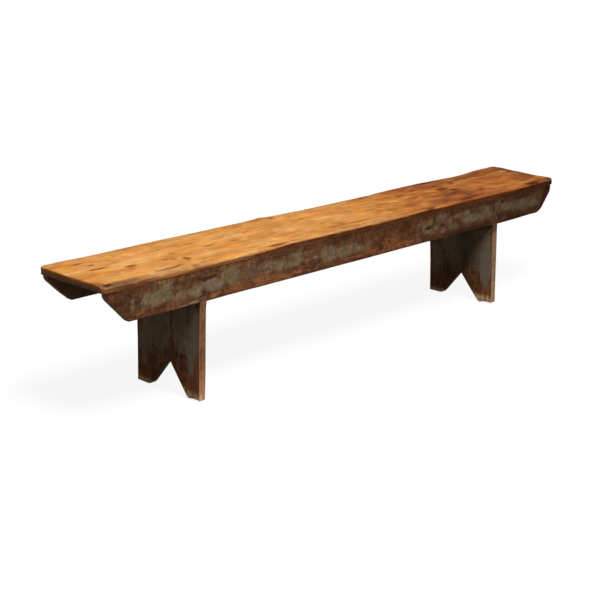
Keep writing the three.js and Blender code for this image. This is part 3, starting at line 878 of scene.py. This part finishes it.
class Finish(Tree):
    """A material of one Principled shader, with its pattern on the bench's own coordinates."""

    def __init__(self, name):
        self.material = bpy.data.materials.new(name)
        super().__init__(self.material)
        place = self.node("TexCoord", {}, {}, 3)
        self.point = self.node("VectorMath", {"operation": "MULTIPLY"}, {0: place, 1: (1 / MM,) * 3})

    def axis(self, letter):
        return self.node("SeparateXYZ", {}, {0: self.point}, "XYZ".index(letter))

    def wear(self, label):
        """One of the piece's wear maps."""
        return self.node("Attribute", {"attribute_name": label}, {}, 2)

    def noise(self, size, seed, detail=2.0, roughness=0.5, twist=0.0):
        """Noise from 0 to 1 whose cells have the given sizes in millimetres along X, Y and Z."""
        scale = tuple(1 / s for s in size)
        shift = tuple(seed * along for along in SEED_SHIFT)
        place = self.node("VectorMath", {"operation": "MULTIPLY_ADD"}, {0: self.point, 1: scale, 2: shift})
        return self.node("TexNoise", {}, {
            "Vector": place, "Scale": 1.0, "Detail": detail, "Roughness": roughness, "Distortion": twist,
        })

    def blend(self, share, first, second, kind="MIX"):
        """A colour mixed from a first and a second, which lies over it as far as the share says."""
        first, second = [(*c, 1) if isinstance(c, tuple) else c for c in (first, second)]
        settings = {"data_type": "RGBA", "blend_type": kind}
        return self.node("Mix", settings, {0: share, 6: first, 7: second}, 2)

    def tint(self, share, colour, by):
        """A colour multiplied by another, as far as the share says."""
        return self.blend(share, colour, by, kind="MULTIPLY")

    def shades(self, value, stops):
        """A colour ramp through (place, colour) stops."""
        made = self.node("ValToRGB", {}, {0: value})
        ramp = made.socket.node.color_ramp
        while len(ramp.elements) < len(stops):
            ramp.elements.new(0.5)
        for element, (place, colour) in zip(ramp.elements, stops):
            element.position = place
            element.color = (*colour, 1)
        return made

    def done(self, colour, roughness, height, depth, constants):
        """Closes the finish. The height, from 0 to 1, is a relief of the given depth in millimetres."""
        relief = self.node("Bump", {}, {"Strength": 1.0, "Distance": depth * MM, "Height": height})
        sockets = {"Base Color": colour, "Roughness": roughness, "Normal": relief, **constants}
        self.close("Material", self.node("BsdfPrincipled", {}, sockets))
        return self.material


def fibres(finish, grain, width, seed, detail=2.0, twist=0.0):
    """Streaks that run along the grain: noise whose cells are FIBRE_STRETCH times as long as wide."""
    size = [width * FIBRE_STRETCH if letter == grain else width for letter in "XYZ"]
    return finish.noise(size, seed, detail, 0.6, twist)


def year_rings(finish, grain, pith, spacing, seed):
    """Late wood of the year rings, from 0 to 1: rings round a wandering line along the grain. The phase
    is the distance from that line over the spacing, and each ring darkens slowly and ends sharply."""
    across = [letter for letter in "XYZ" if letter != grain]
    wander = [RING_CELLS[letter != grain] for letter in "XYZ"]
    offsets = []
    for i, letter in enumerate(across):
        shift = finish.noise(wander, seed + 11 * i, 1.0) - 0.5
        offsets.append(finish.axis(letter) - pith[i] + shift * RING_SWAY)
    distance = (offsets[0] * offsets[0] + offsets[1] * offsets[1]) ** 0.5
    jitter = fibres(finish, grain, 9, seed + 3) * 0.7
    phase = (distance / spacing + jitter).fraction()
    return phase.rise(0.3, 0.9) * phase.rise(1.0, 0.93)


def scrubbed_pine():
    """Scrubbed, waxed pine: pale gold at the left, redder to the right, with rings, streaks, blushes, smoky
    patches and bruises. Below the line that the scrubbing reaches the edges keep their old grime, and the
    underside is bare."""
    finish = Finish("scrubbed_pine")
    late = year_rings(finish, "X", (38, 330), 4.6, 1)
    clouds = finish.noise((170, 46, 46), 2, 3.0, 0.55, 0.3)
    streaks = fibres(finish, "X", 7, 3, 3.0, 0.4)
    hairs = fibres(finish, "X", 1.1, 4, 2.0)
    mottle = finish.noise((40, 24, 24), 5, 4.0, 0.62)
    uneven_tone = clouds.swing(1.0) + mottle.swing(0.6) + streaks.swing(0.25) + hairs.swing(0.08)
    tone = finish.wear("tone")
    colour = finish.shades(tone + uneven_tone + late * 0.1, [
        (0.0, (0.84, 0.475, 0.165)), (0.2, (0.75, 0.345, 0.096)), (0.45, (0.60, 0.235, 0.046)),
        (0.7, (0.385, 0.115, 0.024)), (1.0, (0.18, 0.048, 0.012)),
    ])
    warmth = finish.noise((85, 42, 42), 6, 3.0, 0.6)
    blush = (finish.wear("blush") + warmth.swing(3.6)).rise(0.05, 0.95)
    colour = finish.tint(blush * 0.85, colour, BLUSH_TINT)
    smoke = (finish.wear("smoke") + warmth.swing(-3.2)).rise(0.1, 1.0)
    colour = finish.tint(smoke * 0.85, colour, SMOKE_TINT)
    hue = finish.noise((60, 34, 34), 8, 3.0, 0.62).rise(0.32, 0.68)
    glaze = finish.blend(hue, YELLOW_GLAZE, BLUE_GLAZE)
    colour = finish.tint(tone.rise(-0.05, 0.5), colour, glaze)
    ruddy = finish.noise((40, 22, 22), 9, 3.0, 0.6).rise(0.35, 0.65)
    glaze = finish.blend(ruddy, GREEN_GLAZE, RUDDY_GLAZE)
    colour = finish.tint(tone.rise(0.0, 0.7), colour, glaze)
    pores = fibres(finish, "X", 2.2, 7, 1.0).rise(0.7, 0.78)
    colour = finish.blend(pores * 0.3, colour, PORE_BROWN)

    ragged = streaks.swing(0.4) + mottle.swing(0.6)
    stain = (finish.wear("stain") + ragged * 0.6).rise(0.12, 0.7)
    rim = finish.wear("rim") * (mottle * 1.6 + streaks * 0.8 - 0.2)
    colour = finish.tint(rim, colour, RIM_TINT)
    halo = (finish.wear("nail") + mottle.swing(5)).rise(6.5, 3)
    colour = finish.blend(halo * 0.2, colour, PINE_BY_NAIL)
    # Paler along the rounded front arris: partly worn, polished wood and partly a painted highlight,
    # strongest at the left
    worn_crest_and_highlight = finish.wear("worn_crest_and_highlight") * (mottle * 1.2 + streaks * 0.6)
    colour = finish.blend(worn_crest_and_highlight * 0.45, colour, PALE_CREST_AND_HIGHLIGHT)

    below = finish.wear("scrubbed")
    grime = finish.shades(finish.wear("edge") + mottle.swing(0.9) + streaks.swing(0.5), [
        (0.0, (0.055, 0.018, 0.008)), (0.35, (0.12, 0.037, 0.014)), (0.6, (0.185, 0.066, 0.026)),
        (1.0, (0.33, 0.15, 0.068)),
    ])
    amber = (below + mottle.swing(7) + streaks.swing(4)).rise(-11, -5)
    grime = finish.tint(amber * 0.8, grime, AMBER_TINT)
    end_grime = finish.shades(mottle, [(0.35, (0.17, 0.084, 0.056)), (0.62, (0.29, 0.155, 0.105))])
    end_grime = finish.blend(amber * 0.8, end_grime, AMBER_END)
    grime = finish.blend(finish.wear("end"), grime, end_grime)
    chipped = (finish.wear("spall") + ragged * 0.8).rise(0.45, 0.9)
    broken = finish.shades(mottle * 0.7 + streaks * 0.3, [
        (0.35, (0.07, 0.035, 0.020)), (0.52, (0.20, 0.098, 0.052)), (0.68, (0.38, 0.215, 0.125)),
    ])
    colour = finish.blend(chipped * 0.8, colour, broken)
    colour = finish.tint(stain * 0.92, colour, STAIN_TINT)
    packed_underside = packed_size("seat_board")[0][2]
    underside = finish.axis("Z").rise(*(packed_underside + above for above in UNDERSIDE_FADE))
    bare = finish.shades(streaks * 0.6 + mottle * 0.4, [
        (0.3, (0.20, 0.11, 0.055)), (0.7, (0.36, 0.21, 0.11)),
    ])
    grime = finish.blend(underside, grime, bare)
    scrubbed = (below + mottle.swing(9) + streaks.swing(4)).rise(-2.6, 1.8)
    colour = finish.blend(scrubbed, grime, colour)

    relief = hairs * 0.35 + late * 0.25 + streaks * 0.4 + pores * -0.4 + stain * -0.5
    roughness = 0.8 - scrubbed * 0.12 + mottle.swing(0.2) + stain * 0.1
    return finish.done(colour, roughness, relief, WOOD_RELIEF, {"Specular IOR Level": 0.03})


def ground_wood(finish, grain, seed):
    """Old red-brown wood under the paint, with its streaks: (colour, streaks, fine streaks, mottle)."""
    streaks = fibres(finish, grain, 6, seed, 3.0, 0.5)
    hairs = fibres(finish, grain, 1.2, seed + 1, 2.0)
    mottle = finish.noise((30, 30, 30), seed + 2, 5.0, 0.68)
    clouds = finish.noise((110, 110, 60), seed + 3, 3.0, 0.6)
    value = streaks * 0.35 + mottle * 0.75 + clouds * 0.6 + hairs * 0.2 - 0.45
    colour = finish.shades(value, [
        (0.2, (0.036, 0.013, 0.006)), (0.4, (0.098, 0.036, 0.0155)), (0.52, (0.168, 0.066, 0.027)),
        (0.66, (0.265, 0.114, 0.047)), (0.85, (0.37, 0.178, 0.082)),
    ])
    return colour, streaks, hairs, mottle


def old_paint(finish, seed, cast):
    """Thin paint, dirty and unevenly faded: olive where its cast is 0, and pinkish grey where it is 1."""
    cloud = finish.noise((44, 44, 26), seed, 4.0, 0.65)
    olive = finish.shades(cloud, [
        (0.3, (0.172, 0.133, 0.066)), (0.5, (0.25, 0.193, 0.098)), (0.7, (0.335, 0.262, 0.142)),
    ])
    pinkish = finish.shades(cloud, [
        (0.3, (0.195, 0.117, 0.070)), (0.5, (0.29, 0.181, 0.115)), (0.7, (0.39, 0.255, 0.166)),
    ])
    return finish.blend(cast, olive, pinkish)


def painted_apron():
    """Grey-green paint in worn patches on red-brown wood, orange and bare along the lower edge, dark
    under the seat, darker towards the right end with painted shade at the end itself, with blotches, chips
    and rubbed arrises."""
    finish = Finish("painted_apron")
    colour, streaks, hairs, mottle = ground_wood(finish, "X", 31)
    outside = finish.wear("outside")
    inner = finish.shades(streaks * 0.6 + mottle * 0.4, [
        (0.3, (0.15, 0.08, 0.042)), (0.7, (0.31, 0.18, 0.095)),
    ])
    colour = finish.blend(outside, inner, colour)

    rust_red = finish.noise((80, 40, 26), 35, 4.0, 0.6).rise(0.5, 0.66)
    colour = finish.blend(rust_red * outside * 0.5, colour, RUST_RED)
    flakes = finish.noise((14, 14, 9), 36, 4.0, 0.7)
    drips = finish.noise((9, 9, 44), 37, 3.0)
    bare = (finish.wear("bare") + streaks.swing(0.7) + mottle.swing(1.1)).rise(0.15, 0.75)
    orange = finish.shades(flakes * 0.6 + streaks * 0.4, [
        (0.35, (0.20, 0.062, 0.025)), (0.52, (0.38, 0.132, 0.047)), (0.68, (0.60, 0.28, 0.14)),
    ])
    colour = finish.blend(bare * 0.85, colour, orange)

    ragged = mottle.swing(0.9) + flakes.swing(0.6) + drips.swing(0.8)
    height = finish.axis("Z")
    tan = (finish.wear("tan") + ragged * 0.6).rise(0.2, 0.9)
    colour = finish.blend(tan * 0.75, colour, finish.shades(flakes, [
        (0.35, (0.17, 0.075, 0.034)), (0.5, (0.30, 0.15, 0.072)), (0.65, (0.46, 0.27, 0.15)),
    ]))
    band = height.rise(*HAZE_RISES) * height.rise(*HAZE_FADES)
    haze = finish.noise((70, 70, 30), 40, 3.0, 0.6).rise(0.34, 0.66) * band * finish.wear("haze")
    thick = finish.wear("paint")
    paint = (thick + ragged * (1.15 - thick * 0.5)).rise(0.15, 0.8)
    paint = paint.most(haze * 0.6)
    colour = finish.blend(paint * 0.9, colour, old_paint(finish, 38, finish.wear("cast")))

    upper = height.rise(*DARK_BAND_RISES) * finish.wear("upper")
    colour = finish.blend(upper, colour, BAND_BROWN)
    specks = finish.noise((8, 8, 6), 39, 2.0, 0.6)
    colour = finish.blend(specks.rise(0.6, 0.72) * outside * 0.3, colour, PALE_SPECK)
    colour = finish.blend(specks.rise(0.43, 0.32) * (0.55 - paint * 0.35), colour, DARK_SPECK)
    scratches = finish.noise((6, 6, 15), 41, 3.0, 0.66).rise(0.36, 0.64)
    scratches = finish.blend(scratches, SCRATCH_DARK, SCRATCH_LIGHT)
    colour = finish.tint(outside, colour, scratches)
    hue = finish.noise((34, 34, 18), 42, 3.0, 0.65).rise(0.34, 0.66)
    cast = finish.blend(hue, WARM_CAST, COOL_CAST)
    colour = finish.tint(outside, colour, cast)
    blotch = (finish.wear("blotch") + mottle.swing(0.8)).rise(0.3, 0.75)
    colour = finish.blend(blotch * 0.85, colour, BLOTCH_BROWN)
    rubbed = (finish.wear("arris") + mottle.swing(9) + streaks.swing(5)).rise(3.4, 0.8)
    colour = finish.blend(rubbed * 0.35 * height.rise(*APRON_RUBBING_FADES), colour, RUBBED_APRON)
    chip = (finish.wear("chip") + ragged * 0.5).rise(0.3, 0.95)
    colour = finish.blend(chip * 0.75, colour, CHIPPED_WOOD)
    halo = (finish.wear("nail") + mottle.swing(6)).rise(7, 3.5)
    colour = finish.blend(halo * 0.5, colour, APRON_BY_NAIL)
    # Darker towards the right end of the outer face, with painted shade at the end itself for the end's edge
    # in shadow
    colour = finish.tint(finish.wear("darkening_and_end_shade"), colour, DARKENING_AND_SHADE_TINT)

    relief = hairs * 0.3 + streaks * 0.3 + paint * 0.35 + flakes * 0.25 - blotch * 0.4 - chip * 0.3
    roughness = 0.76 + mottle.swing(0.2) - paint * 0.06
    return finish.done(colour, roughness, relief, WOOD_RELIEF, {"Specular IOR Level": 0.04})


def painted_leg():
    """The same paint on upright boards: thin over brown streaks, rubbed bare and red at the feet, with
    tan wood along the sawn edges, painted shade in the V and under the apron's lap, and pale soles."""
    finish = Finish("painted_leg")
    colour, streaks, hairs, mottle = ground_wood(finish, "Z", 51)
    flakes = finish.noise((12, 12, 20), 56, 4.0, 0.7)
    ragged = mottle.swing(1.0) + streaks.swing(1.1) + flakes.swing(0.5)
    bare = (finish.wear("bare") + ragged * 0.5).rise(0.3, 0.75)
    paint = (finish.wear("paint") + ragged * 0.8).rise(0.28, 0.7) * (1 - bare)
    weathered = old_paint(finish, 58, mottle.rise(0.35, 0.65))
    # Cooler grey: partly weathered paint and partly a painted band of light along the legs' front edges
    weathered = finish.blend(finish.wear("cool_paint_and_light"), weathered, GREY_PAINT_AND_LIGHT)
    colour = finish.blend(paint * 0.8, colour, weathered)
    foot = finish.shades(streaks * 0.6 + hairs * 0.4, [
        (0.35, (0.15, 0.041, 0.021)), (0.65, (0.50, 0.175, 0.072)),
    ])
    colour = finish.blend(bare * 0.7, colour, foot)
    # Painted shade over the broad faces, strongest where the seat shades the right leg
    colour = finish.tint(finish.wear("painted_shade"), colour, PAINTED_SHADE_TINT)

    height = finish.axis("Z")
    edge = finish.wear("edge")
    up = height / SAWN_EDGE_HEIGHT
    sawn = finish.shades(up + mottle.swing(0.2), [
        (0.05, (0.76, 0.42, 0.21)), (0.18, (0.64, 0.32, 0.135)), (0.32, (0.46, 0.205, 0.090)),
        (0.5, (0.37, 0.165, 0.080)), (0.86, (0.37, 0.175, 0.088)), (1.0, (0.42, 0.21, 0.12)),
    ])
    worn = finish.shades(up, [
        (0.05, (0.98, 0.70, 0.44)), (0.2, (0.88, 0.58, 0.36)), (0.36, (0.70, 0.455, 0.285)),
        (0.5, (0.58, 0.385, 0.245)),
    ])
    sawn = finish.blend(finish.wear("pale"), sawn, worn)
    old = (streaks * 0.6 + flakes * 0.6 - 0.1).rise(0.58, 0.36)
    sawn = finish.tint(old * 0.85, sawn, OLD_EDGE_TINT)
    # Painted shade on the sawn edges below and inside the apron's lap and on the V's faces
    grime = finish.wear("grime")
    sawn = finish.blend(grime, sawn, SHADE_BROWN)
    colour = finish.blend(edge * 0.95, colour, sawn)
    rubbed = (finish.wear("arris") + mottle.swing(7) + streaks.swing(5)).rise(3.5, 0.5)
    rubbed = rubbed * 0.5 * height.rise(*LEG_RUBBING_FADES) * (1 - grime)
    colour = finish.blend(rubbed, colour, RUBBED_LEG)
    sole = (finish.wear("sole") + ragged * 0.5).rise(0.1, 0.9)
    colour = finish.blend(sole * 0.85, colour, finish.shades(streaks * 0.5 + flakes * 0.5, [
        (0.38, (0.40, 0.16, 0.066)), (0.5, (0.80, 0.46, 0.24)), (0.62, (1.0, 0.72, 0.45)),
    ]))

    relief = hairs * 0.3 + streaks * 0.4 + paint * 0.3 + flakes * 0.15
    roughness = 0.78 + mottle.swing(0.2) - paint * 0.06
    return finish.done(colour, roughness, relief, WOOD_RELIEF, {"Specular IOR Level": 0.04})


def rusted_iron():
    """Dark iron under brown and orange rust, rough all over."""
    finish = Finish("rusted_iron")
    rust = finish.noise((3.2, 3.2, 3.2), 71, 4.0, 0.65)
    colour = finish.shades(rust, [
        (0.3, (0.070, 0.036, 0.020)), (0.5, (0.19, 0.098, 0.048)), (0.7, (0.32, 0.17, 0.080)),
    ])
    return finish.done(colour, rust * 0.2 + 0.75, rust, RUST_RELIEF, {"Specular IOR Level": 0.03})


# Floor, lamps and camera

def floor():
    """A round white floor that keeps the bench's shadow. Seen by the camera it glows almost white, and
    wholly white further out; for the light that bounces it is a dull surface."""
    turn = np.linspace(0, 2 * np.pi, 96, endpoint=False)
    rim = np.stack([FLOOR_RADIUS * np.cos(turn), FLOOR_RADIUS * np.sin(turn), 0 * turn - FLOOR_DROP], -1)
    mesh = bpy.data.meshes.new("floor")
    mesh.from_pydata(rim.tolist(), [], [list(range(len(rim)))])
    finish = Finish("pale_floor")
    x, y = finish.axis("X"), finish.axis("Y")
    far = ((x * x + y * y) ** 0.5).rise(*WHITE_BEYOND)
    shadowed = finish.node("BsdfDiffuse", {}, {"Color": (SHADOW_GREY,) * 3 + (1,)})
    glow = finish.node("Emission", {}, {"Color": (1, 1, 1, 1), "Strength": FLOOR_GLOW})
    kept = finish.node("AddShader", {}, {0: shadowed, 1: glow})
    white = finish.node("Emission", {}, {"Color": (1, 1, 1, 1), "Strength": 1.0})
    seen = finish.node("MixShader", {}, {0: far, 1: kept, 2: white})
    dull = finish.node("BsdfDiffuse", {}, {"Color": (BOUNCE_GREY,) * 3 + (1,)})
    shown = finish.node("MixShader", {}, {0: finish.seen_directly(), 1: dull, 2: seen})
    finish.close("Material", shown)
    mesh.materials.append(finish.material)
    piece = bpy.data.objects.new("floor", mesh)
    bpy.context.scene.collection.objects.link(piece)


def room(level):
    """A room that lights the bench evenly at a low level and shows white behind it."""
    world = bpy.data.worlds.new("room")
    tree = Tree(world)
    strength = tree.seen_directly() * (1 - level) + level
    tree.close("World", tree.node("Background", {}, {"Color": (1, 1, 1, 1), "Strength": strength}))
    bpy.context.scene.world = world


def softbox(name, place, size, light):
    """A square lamp aimed at the bench's middle. Light is the share of full light that it gives to a
    surface there that faces it, which takes pi^2 * distance^2 watts at 1."""
    lamp = bpy.data.lights.new(name, "AREA")
    lamp.size = size
    aim = Vector(BENCH_MIDDLE) - Vector(place)
    lamp.energy = math.pi ** 2 * aim.length_squared * light
    holder = bpy.data.objects.new(name, lamp)
    holder.matrix_world = Matrix.Translation(place) @ aim.to_track_quat("-Z", "Y").to_matrix().to_4x4()
    bpy.context.scene.collection.objects.link(holder)


def camera():
    """The photograph's camera, from its azimuth, elevation and roll."""
    azimuth, elevation, roll = map(math.radians, (CAMERA_AZIMUTH, CAMERA_ELEVATION, CAMERA_ROLL))
    back = Vector((math.sin(azimuth) * math.cos(elevation), -math.cos(azimuth) * math.cos(elevation),
                   math.sin(elevation)))
    right = (-back).cross(Vector((0, 0, 1))).normalized()
    up = back.cross(right)
    turned_right = right * math.cos(roll) + up * math.sin(roll)
    turned_up = up * math.cos(roll) - right * math.sin(roll)
    lens = bpy.data.cameras.new("camera")
    lens.sensor_fit = "HORIZONTAL"
    lens.sensor_width = CAMERA_SENSOR
    lens.lens = CAMERA_LENS
    lens.clip_end = CAMERA_REACH
    holder = bpy.data.objects.new("camera", lens)
    turn = Matrix((turned_right, turned_up, back)).transposed().to_4x4()
    holder.matrix_world = Matrix.Translation(CAMERA_PLACE) @ turn
    bpy.context.scene.collection.objects.link(holder)
    bpy.context.scene.camera = holder


camera()
floor()
room(ROOM_LIGHT)
for name, (place, size, light) in LAMPS.items():
    softbox(name, place, size, light)

pine = scrubbed_pine()
apron_finish = painted_apron()
leg_finish = painted_leg()
iron = rusted_iron()

seat_board(pine)
apron_board("front", -1, FRONT_PAINT, apron_finish)
apron_board("back", 1, BACK_PAINT, apron_finish)
leg_board("left", -1, leg_finish)
leg_board("right", 1, leg_finish)
for name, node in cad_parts.items():
    if "nail" in name:
        node.data.materials.clear()
        node.data.materials.append(iron)

bpy.context.scene.view_settings.view_transform = "Standard"
bpy.context.view_layer.update()
